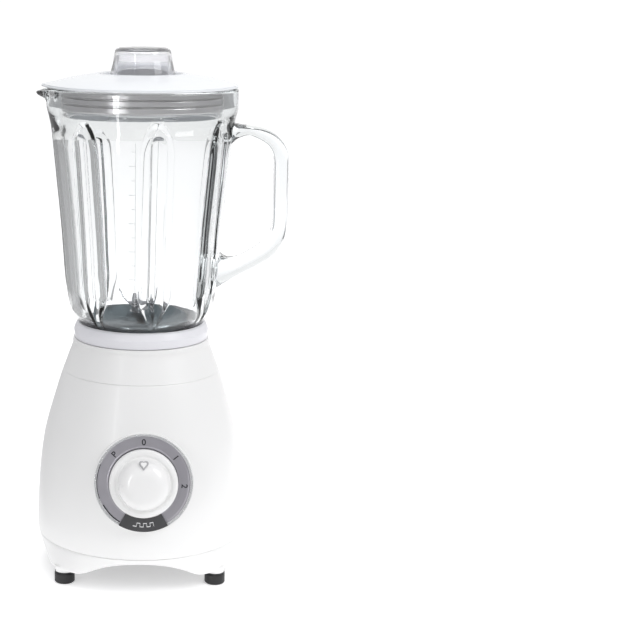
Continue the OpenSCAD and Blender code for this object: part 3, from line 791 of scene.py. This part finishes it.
def upper_cover():
    """The top of the base, with the seat that the jug's collar sits in."""
    edge = COVER[0].x
    outline = filleted([
        (SEAT_R, SEAT_Z, 0.8), (SEAT_R, BASE_TOP, 0.8), (50.6, BASE_TOP, 0.5), (52.2, BASE_TOP - 0.1, 1.2),
    ])
    outline += COVER[::-1][:-1]
    outline += [Vector((edge, SEAM_TOP + 0.2)), Vector((edge - 0.3, SEAM_TOP))]
    outline += [Vector((edge - WALL, SEAM_TOP))]
    outline += [Vector((p.x - WALL, p.y)) for p in COVER if SEAM_TOP + 1 < p.y < SEAT_Z - 4]
    outline += filleted([(49, SEAT_Z - 3, 1), (12, SEAT_Z - 3, 0.3), (12, SEAT_Z, 0.6)])
    return lathe("upper_cover", outline, segments=240)


def leg_radius(angle, inset=0.0):
    """Radius of the foot ring's lower outline, a square with round corners."""
    half, n = 74, 3
    return (half - inset) / (abs(math.cos(angle)) ** n + abs(math.sin(angle)) ** n) ** (1 / n)


def ring_radius(angle, z, inset=0.0):
    """Radius of the foot ring: round at the seam, square at the legs' ends."""
    top = SEAM_LOW - 0.2
    t = (top - z) / (top - LEG_Z)
    return (BASE_R - 0.2 - inset) * (1 - t) + leg_radius(angle, inset) * t


def leg_bottom(x, y):
    """Lower edge of the foot ring at a point: flat on the legs, arched between them, blended smoothly."""
    low, blend = LEG_Z, 6
    for v in (abs(x), abs(y)):
        if v < ARCH_R:
            arch = ARCH_TOP - ARCH_R + math.sqrt(ARCH_R**2 - v * v)
            mix = max(0.0, min(1.0, 0.5 + (arch - low) / blend))
            low = low * (1 - mix) + arch * mix + blend / 2 * mix * (1 - mix)
    return low


def post(bm, radius, z0, z1, low_round, high_round, matrix):
    """Adds an upright cylinder with rounded edges."""
    outline = filleted([(0, z0, 0), (radius, z0, low_round), (radius, z1, high_round), (0, z1, 0)])
    revolve(bm, outline, 64, matrix)


def legs():
    """The foot ring with its four legs, and the posts that carry the rubber feet."""
    segments, rows = 720, 16
    top = SEAM_LOW - 0.25
    outer, inner = [[] for _ in range(rows + 1)], [[] for _ in range(rows + 1)]
    for k in range(segments):
        a = TURN * k / segments
        edge = leg_radius(a)
        low = leg_bottom(edge * math.cos(a), edge * math.sin(a))
        for side, rings in ((0.0, outer), (WALL, inner)):
            for i in range(rows + 1):
                z = top + (low - top) * i / rows
                r = ring_radius(a, z, side)
                if i == 0 and not side:
                    r -= 0.5
                if i == rows:
                    r += 0.5 if side else -0.5
                rings[i].append((r * math.cos(a), r * math.sin(a), z))
    bm = bmesh.new()
    add_rings(bm, outer + inner[::-1])
    for _, sx, sy in CORNERS:
        spot = Matrix.Translation((sx * FOOT_X, sy * FOOT_Y, 0))
        post(bm, 7.9, LEG_Z - 0.05, LEG_Z + 2, 0.8, 0.8, spot)
        post(bm, 7, FOOT_H - 0.1, LEG_Z + 1, 0.2, 0, spot)
    return finish_mesh("leg_ring", bm, 40)


def foot(name, sx, sy):
    """A rubber foot with a turned edge and shallow rings under it."""
    outline = filleted([
        (0, 0.5, 0), (2.2, 0.5, 0.2), (2.6, 0, 0.2), (3.6, 0, 0.2), (4.0, 0.5, 0.2), (4.9, 0.5, 0.2),
        (5.3, 0, 0.2), (6.8, 0, 0.5), (7.7, 0.9, 0.5), (7.7, FOOT_H - 1.6, 0.3),
        (7.25, FOOT_H - 1.3, 0.2), (7.25, FOOT_H - 1.0, 0.2), (7.6, FOOT_H - 0.7, 0.2),
        (7.4, FOOT_H, 0.3), (0, FOOT_H, 0),
    ], 4)
    return lathe(name, outline, segments=96, matrix=Matrix.Translation((sx * FOOT_X, sy * FOOT_Y, 0)))


# ---------------------------------------------------------------- dial
def on_dial(r, angle):
    """A point on the dial's face; angles are clockwise from the top, in degrees."""
    a = math.radians(angle)
    return (r * math.sin(a), r * math.cos(a))


def dial_arc(bm, r_in, r_out, start, sweep, z0, z1, steps=48):
    """Adds a flat sector on the dial."""
    angles = [start + sweep * k / steps for k in range(steps + 1)]
    outline = [on_dial(r_out, a) for a in angles] + [on_dial(r_in, a) for a in reversed(angles)]
    prism(bm, outline[::-1], z0, z1, dial_matrix())


def bezel():
    """The clear ring round the dial."""
    return lathe("dial_ring", filleted([
        (DIAL_R - 1.5, 0.1, 0), (DIAL_R, 0.1, 0.1), (DIAL_R, 1.7, 0.7), (DIAL_R - 0.8, 1.9, 0.4),
        (DIAL_R - 1.5, 1.0, 0.2),
    ]), segments=192, matrix=dial_matrix())


def dial_face():
    """The silver plate, with a raised rim and a groove round the knob."""
    plate_r = DIAL_R - 1.7
    return lathe("dial_face", filleted([
        (SPINDLE_R, -1.6, 0), (plate_r, -1.6, 0), (plate_r, 0.1, 0.2), (plate_r - 1.1, 0.1, 0.2),
        (plate_r - 1.5, 0, 0.2), (KNOB_R + 1.6, 0, 0.2), (KNOB_R + 1.2, 0.15, 0.2), (KNOB_R + 0.3, 0.15, 0.2),
        (KNOB_R - 0.2, -0.4, 0.3), (SPINDLE_R, -0.4, 0),
    ]), segments=192, matrix=dial_matrix())


def pulse_band():
    """The dark sector at the bottom of the dial."""
    bm = bmesh.new()
    dial_arc(bm, KNOB_R + 0.5, DIAL_R - 0.15, 150, 60, 0.05, BAND_Z)
    return finish_mesh("pulse_band", bm, 30)


def pulse_mark():
    """A square-wave mark for the pulse setting, in three steps along the band."""
    bm = bmesh.new()
    radius, rise, line, step = 31.0, 1.3, 0.5, 4.6
    z0, z1 = BAND_Z - 0.05, BAND_Z + 0.08
    wall = line / radius * 28.6
    high = True
    for k in range(-3, 3):
        start = 180 - k * step
        r = radius + (rise if high else -rise)
        dial_arc(bm, r - line / 2, r + line / 2, start - step, step, z0, z1, 6)
        edge = start - step - wall / 2
        dial_arc(bm, radius - rise - line / 2, radius + rise + line / 2, edge, wall, z0, z1, 2)
        high = not high
    return finish_mesh("pulse_mark", bm, 30)


def figure(mark):
    """The mesh of one printed figure, flat and centred."""
    text = bpy.data.curves.new("mark", "FONT")
    text.body = mark
    text.align_x, text.align_y = "CENTER", "CENTER"
    text.size = 6.3
    text.extrude = 0.05
    text.offset = 0.13
    scratch = bpy.data.objects.new("mark", text)
    bpy.context.scene.collection.objects.link(scratch)
    mesh = bpy.data.meshes.new_from_object(scratch.evaluated_get(bpy.context.evaluated_depsgraph_get()))
    bpy.data.objects.remove(scratch)
    return mesh


def dial_marks():
    """The printed figures round the dial, and two thin lines along the plate's lower left edge."""
    places = {"P": -45.8, "0": 0.0, "1": 51.4, "2": 94.3}
    figure_r = 29.9
    bm = bmesh.new()
    for mark, angle in places.items():
        mesh = figure(mark)
        turn = Matrix.Rotation(-math.radians(angle), 4, "Z")
        mesh.transform(dial_matrix() @ turn @ Matrix.Translation((0, figure_r, 0.06)))
        bm.from_mesh(mesh)
    # Two dark arcs along the plate's lower left edge, in the same dark colour as the figures.
    dial_arc(bm, DIAL_R - 2.9, DIAL_R - 2.0, 211, 30, 0.1, 0.2)
    dial_arc(bm, DIAL_R - 2.1, DIAL_R - 1.6, 250, 44, 0.1, 0.2)
    return finish_mesh("dial_marks", bm, 30)


def knob():
    """The knob: a flange, a groove and a dome."""
    outline = filleted([
        (0, 1.0, 0), (KNOB_R - 0.5, 1.0, 0.4), (KNOB_R, 1.6, 0.5), (KNOB_R, 4.4, 0.9), (KNOB_R - 1.2, 6.4, 1.2),
    ])
    outline += curve([
        (KNOB_R - 3.6, 6.4), (KNOB_R - 5.4, 5.6), (KNOB_R - 6.2, 7.0), (KNOB_R - 6.7, 11),
        (KNOB_R - 8.0, 14.6), (KNOB_R - 10.8, 17.4), (KNOB_R - 14.6, 19.1), (KNOB_R - 19, 19.8), (0, 20.0),
    ], 6)
    bm = bmesh.new()
    revolve(bm, outline, 144, dial_matrix())
    return finish_mesh("dial_knob", bm)


def pointer(name, size, high):
    """A raised triangle with a bulging top, near the dome's upper edge and square to it."""
    right = [(3.3, 0.6), (3.6, 2.0), (2.6, 3.1), (1.1, 3.2)]
    left = [(-x, y) for x, y in reversed(right)]
    outline = [Vector(p) * size for p in [(0, -3.9)] + right + [(0, 2.7)] + left]
    bm = bmesh.new()
    lean = Matrix.Translation((0, 7.0, 0)) @ Matrix.Rotation(-math.radians(27), 4, "X")
    prism(bm, outline, 16, high, dial_matrix() @ lean)
    shape = finish_mesh(name, bm, 30)
    soften(shape, 0.25)
    return shape


# ---------------------------------------------------------------- studio
def camera():
    """A long lens in front of the object and a little above it, shifted to put the object on the left."""
    data = bpy.data.cameras.new("camera")
    data.sensor_width = 36
    data.lens = 90.3
    data.shift_x = 0.279
    data.clip_end = 100
    cam = bpy.data.objects.new("camera", data)
    bpy.context.scene.collection.objects.link(cam)
    place = Vector((0, -1.2, 0.454))
    look = Vector((0, 0, 0.1931)) - place
    aim = look.to_track_quat("-Z", "Y").to_matrix().to_4x4()
    roll = Matrix.Rotation(math.radians(0.36), 4, "Z")
    cam.matrix_world = Matrix.Translation(place) @ aim @ roll
    bpy.context.scene.camera = cam


def area_light(name, place, target, width, height, power):
    """A soft rectangular lamp."""
    data = bpy.data.lights.new(name, "AREA")
    data.shape = "RECTANGLE"
    data.size, data.size_y = width, height
    data.energy = power
    lamp = bpy.data.objects.new(name, data)
    lamp.location = place
    lamp.rotation_euler = (Vector(target) - Vector(place)).to_track_quat("-Z", "Y").to_euler()
    bpy.context.scene.collection.objects.link(lamp)


def ground(name, corners, z, albedo, glow):
    """A flat matt sheet."""
    mesh = bpy.data.meshes.new(name)
    mesh.from_pydata([(x, y, z) for x, y in corners], [], [list(range(len(corners)))])
    sheet = bpy.data.objects.new(name, mesh)
    bpy.context.scene.collection.objects.link(sheet)
    paint = material(name, (albedo, albedo, albedo), 0.9, vary=0.004, scale=0.5, bump=0.0)
    shader = paint.node_tree.nodes["Principled BSDF"]
    shader.inputs["Emission Color"].default_value = (1, 1, 1, 1)
    shader.inputs["Emission Strength"].default_value = glow
    shader.inputs["Specular IOR Level"].default_value = 0.1
    mesh.materials.append(paint)


def sky():
    """White behind the object, falling to grey at its sides and in front of it."""
    world = bpy.data.worlds.new("studio")
    bpy.context.scene.world = world
    world.use_nodes = True
    nodes, links = world.node_tree.nodes, world.node_tree.links
    place = nodes.new("ShaderNodeTexCoord")
    across = nodes.new("ShaderNodeVectorMath")
    across.operation = "DOT_PRODUCT"
    across.inputs[1].default_value = (0.12, 0.92, 0)
    remap = nodes.new("ShaderNodeMapRange")
    remap.inputs["From Min"].default_value = -1
    ramp = nodes.new("ShaderNodeValToRGB")
    links.new(place.outputs["Generated"], across.inputs[0])
    links.new(across.outputs["Value"], remap.inputs["Value"])
    links.new(remap.outputs["Result"], ramp.inputs["Fac"])
    links.new(ramp.outputs["Color"], nodes["Background"].inputs["Color"])
    front, behind = ramp.color_ramp.elements
    front.position = 0.08
    front.color = (0.55, 0.55, 0.56, 1)
    behind.position = 0.80
    behind.color = (1, 1, 1, 1)
    for position, grey in ((0.36, 0.48), (0.60, 0.60)):
        side = ramp.color_ramp.elements.new(position)
        side.color = (grey, grey, grey * 1.03, 1)
    nodes["Background"].inputs["Strength"].default_value = 1.0


def studio():
    """White paper on a grey studio floor, the sky and four soft lamps."""
    floor, paper = 0.56, 0.93
    ground("studio_floor", [(-60, -60), (60, -60), (60, 60), (-60, 60)], -0.002, floor, 0.0)
    sheet = [(-0.17, -0.175), (0.40, -0.175), (19, 59), (-14, 59), (-0.18, 0.22)]
    ground("white_paper", sheet, 0.0, paper, 0.46)
    sky()
    middle = (0, 0, 0.2)
    area_light("key", (1.5, -0.9, 1.5), middle, 1.0, 1.2, 17)
    area_light("fill", (0.25, -1.9, 1.4), middle, 1.4, 1.2, 4.0)
    area_light("streak", (-0.80, -1.28, 0.45), (0, 0, 0.36), 0.10, 0.9, 4)
    area_light("top", (0, 0.3, 2.0), middle, 1.4, 1.4, 8)
    bpy.context.scene.view_settings.view_transform = "Standard"


# ---------------------------------------------------------------- assembly
def carried_over(mats):
    """Finishes for the CAD pieces that keep their own shape."""
    finish = {
        "black": [
            "bottom_cover", "rotary_switch", "fan_shroud", "interlock_switch", "cooling_fan", "drive_coupling",
            "blade_coupling",
        ],
        "rubber": ["motor_grommets", "cord_gland", "shaft_seal_ring"],
        "zinc": [
            "switch_nut", "upper_bracket", "lower_bracket", "motor_screws", "stator_screws", "cover_screws",
            "base_screws",
        ],
        "steel": [
            "blade_bushing", "knob_spindle", "brush_springs", "interlock_spring", "motor_shaft", "blade_shaft",
            "blade_washer",
        ],
        "stack": ["stator_core", "armature_core"],
        "copper": ["field_coils", "armature_winding", "commutator"],
        "bronze": ["upper_bearing", "lower_bearing", "brush_holders"],
        "carbon": ["carbon_brushes"],
        "pale": ["thermal_fuse", "terminal_block"],
        "wire": ["wiring_loom"],
        "red": ["interlock_plunger"],
        "seal": ["jug_gasket"],
    }
    for key, names in finish.items():
        for name in names:
            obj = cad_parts[name]
            obj.data.materials.clear()
            obj.data.materials.append(mats[key])


def build():
    """Makes every visible piece and hangs it on its body."""
    mats = palette()
    carried_over(mats)
    dress(housing(), mats["white"], "root", "white_gloss", "main_housing")
    dress(upper_cover(), mats["white"], "root", "white_gloss", "top_cover")
    dress(legs(), mats["white"], "root", "white_gloss", "foot_ring")
    for place, sx, sy in CORNERS:
        dress(foot("rubber_" + place, sx, sy), mats["rubber"], "root", "black_rubber", "foot_" + place)
    dress(bezel(), mats["bezel"], "root", "bezel_clear", "dial_bezel")
    dress(dial_face(), mats["silver"], "root", "dial_silver", "dial_plate")
    dress(pulse_band(), mats["dark"], "root", "dial_dark", "pulse_sector")
    dress(pulse_mark(), mats["white_ink"], "root", "white_gloss")
    dress(dial_marks(), mats["ink"], "root", "dial_dark")
    dress(knob(), mats["knob"], "knob", "white_gloss", "knob")
    # The larger grey copy of the pointer paints the shade round the raised pointer's edges; the smaller white
    # copy is its face.
    dress(pointer("pointer_painted_shade_rim", 1.0, 20.2), mats["painted_edge_shade"], "knob", "white_gloss")
    dress(pointer("pointer_face", 0.62, 20.6), mats["knob"], "knob", "white_gloss")
    dress(glass_jug(), mats["glass"], "jug", "glass", "glass_jug")
    dress(graduation(), mats["print"], "jug", "dial_dark")
    dress(jug_collar(), mats["satin"], "jug", "white_satin", "jug_collar")
    dress(blade_dish(), mats["dish"], "jug", "steel", "blade_base")
    upper = wing_blade("upper_wings", math.radians(8), 206.4, 14, math.radians(56), 5)
    dress(upper, mats["blade"], "blades", "steel", "upper_blade")
    lower = wing_blade("lower_wings", math.radians(98), 204.6, 21, math.radians(10), 6.2)
    dress(lower, mats["blade"], "blades", "steel", "lower_blade")
    dress(blade_bolt(), mats["steel"], "blades", "steel", "blade_nut")
    dress(lid_dome(), mats["lid"], "lid", "lid_plastic", "lid_shell")
    dress(lid_seal(), mats["seal"], "lid", "seal_rubber", "lid_seal")
    dress(cap(), mats["cap"], "cap", "cap_clear", "measuring_cap")


camera()
studio()
build()
bpy.context.view_layer.update()
